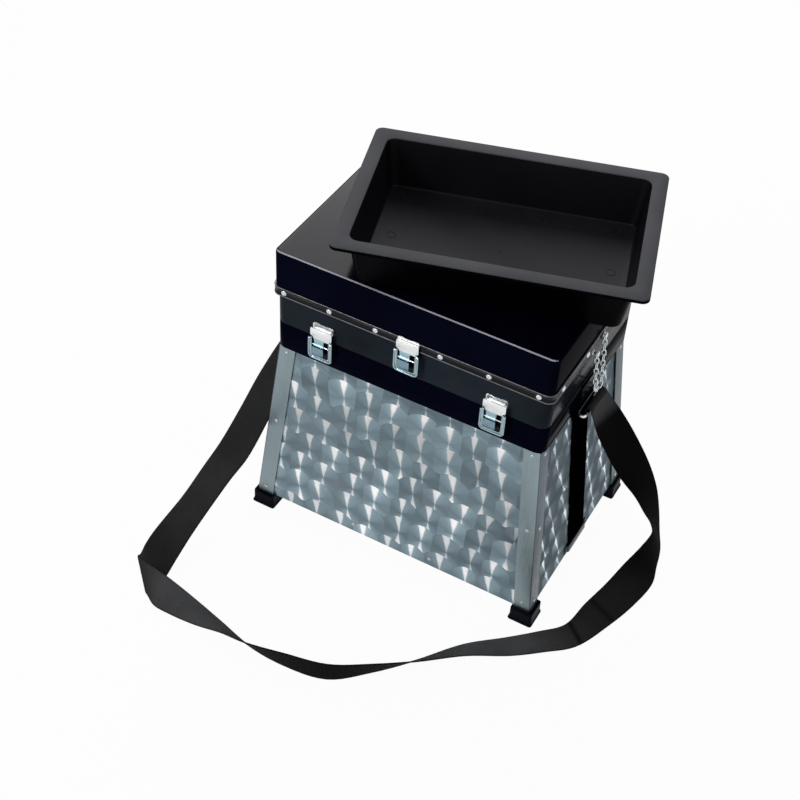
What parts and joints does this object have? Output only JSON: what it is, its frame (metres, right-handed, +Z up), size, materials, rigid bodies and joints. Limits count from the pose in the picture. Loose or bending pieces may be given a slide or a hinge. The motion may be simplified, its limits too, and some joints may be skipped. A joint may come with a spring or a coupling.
{
  "type": "fishing seat box",
  "caption": "Seat box for anglers with a black lid and upper tier over a splayed aluminium body, draw latches, piano hinges, rubber feet, shoulder strap and a loose tray on the seat.",
  "frame": {"origin": "on the floor, under the middle of the box that the standing pieces fill", "axes": "+X to the right along the latched front, +Y to the hinged back, +Z up"},
  "size_m": [0.6449, 0.6021, 0.537],
  "materials": {
    "black_moulding": "satin black",
    "black_lid": "glossy black",
    "black_trim": "satin black",
    "turned_aluminium": "engine turned",
    "drawn_aluminium": "brushed",
    "nickel": "bright nickel plate",
    "ply_board": "plain",
    "boot_rubber": "matte",
    "webbing": "woven",
    "grey_tray": "fine grain"
  },
  "bodies": {
    "box": {"front_panel": "turned_aluminium", "back_panel": "turned_aluminium", "left_panel": "turned_aluminium", "right_panel": "turned_aluminium", "floor_panel": "ply_board", "corner_post_front_left": "drawn_aluminium", "foot_front_left": "boot_rubber", "corner_post_front_right": "drawn_aluminium", "foot_front_right": "boot_rubber", "corner_post_back_left": "drawn_aluminium", "foot_back_left": "boot_rubber", "corner_post_back_right": "drawn_aluminium", "foot_back_right": "boot_rubber", "lower_rim": "black_moulding", "tier_hinge_lower_leaf": "nickel", "tier_hinge_pin": "nickel", "latch_base_left": "nickel", "latch_base_right": "nickel", "latch_pivot_pin_left": "nickel", "latch_pivot_pin_right": "nickel", "strap_ring_left": "nickel", "strap_ring_right": "nickel", "ring_bracket_left": "nickel", "ring_bracket_right": "nickel", "base_keeper_left": "drawn_aluminium", "base_keeper_right": "drawn_aluminium", "held_webbing": "webbing", "shoulder_strap": "webbing"},
    "upper_tier": {"tier_tray": "black_moulding", "tier_hinge_upper_leaf": "nickel", "lid_hinge_lower_leaf": "nickel", "lid_hinge_pin": "nickel", "latch_catch_left": "nickel", "latch_catch_right": "nickel", "latch_base_middle": "nickel", "latch_pivot_pin_middle": "nickel", "chain_eye_tier": "nickel", "stay_chain": "nickel"},
    "lid": {"lid_shell": "black_lid", "lid_trim": "black_trim", "lid_hinge_upper_leaf": "nickel", "latch_catch_middle": "nickel", "chain_eye_lid": "nickel"},
    "tray": {"loose_tray": "grey_tray"},
    "lever_left": {"latch_lever_left": "nickel"},
    "claw_left": {"latch_claw_left": "nickel", "latch_claw_pin_left": "nickel"},
    "lever_right": {"latch_lever_right": "nickel"},
    "claw_right": {"latch_claw_right": "nickel", "latch_claw_pin_right": "nickel"},
    "lever_middle": {"latch_lever_middle": "nickel"},
    "claw_middle": {"latch_claw_middle": "nickel", "latch_claw_pin_middle": "nickel"}
  },
  "joints": [
    {"name": "tier_hinge", "type": "hinge", "parent": "box", "child": "upper_tier", "pos_m": [-0.02122, 0.1278, 0.34715], "axis": [-1, 0, 0], "range_deg": [0, 75]},
    {"name": "lid_hinge", "type": "hinge", "parent": "upper_tier", "child": "lid", "pos_m": [-0.02122, 0.1316, 0.39565], "axis": [-1, 0, 0], "range_deg": [0, 95]},
    {"name": "tray_lift", "type": "slide", "parent": "lid", "child": "tray", "axis": [0, 0, 1], "range_m": [0, 0.13]},
    {"name": "lever_hinge_left", "type": "hinge", "parent": "box", "child": "lever_left", "pos_m": [-0.14522, -0.152, 0.35], "axis": [-1, 0, 0], "range_deg": [0, 105]},
    {"name": "claw_hinge_left", "type": "hinge", "parent": "lever_left", "child": "claw_left", "pos_m": [-0.14522, -0.1542, 0.341], "axis": [-1, 0, 0], "range_deg": [-105, 0]},
    {"name": "lever_hinge_right", "type": "hinge", "parent": "box", "child": "lever_right", "pos_m": [0.10678, -0.152, 0.35], "axis": [-1, 0, 0], "range_deg": [0, 105]},
    {"name": "claw_hinge_right", "type": "hinge", "parent": "lever_right", "child": "claw_right", "pos_m": [0.10678, -0.1542, 0.341], "axis": [-1, 0, 0], "range_deg": [-105, 0]},
    {"name": "lever_hinge_middle", "type": "hinge", "parent": "upper_tier", "child": "lever_middle", "pos_m": [-0.01922, -0.152, 0.389], "axis": [-1, 0, 0], "range_deg": [0, 105]},
    {"name": "claw_hinge_middle", "type": "hinge", "parent": "lever_middle", "child": "claw_middle", "pos_m": [-0.01922, -0.1542, 0.38], "axis": [-1, 0, 0], "range_deg": [-105, 0]}
  ],
  "couplings": [
    {"joint": "claw_hinge_left", "follows": "lever_hinge_left", "ratio": -1},
    {"joint": "claw_hinge_right", "follows": "lever_hinge_right", "ratio": -1},
    {"joint": "claw_hinge_middle", "follows": "lever_hinge_middle", "ratio": -1}
  ]
}
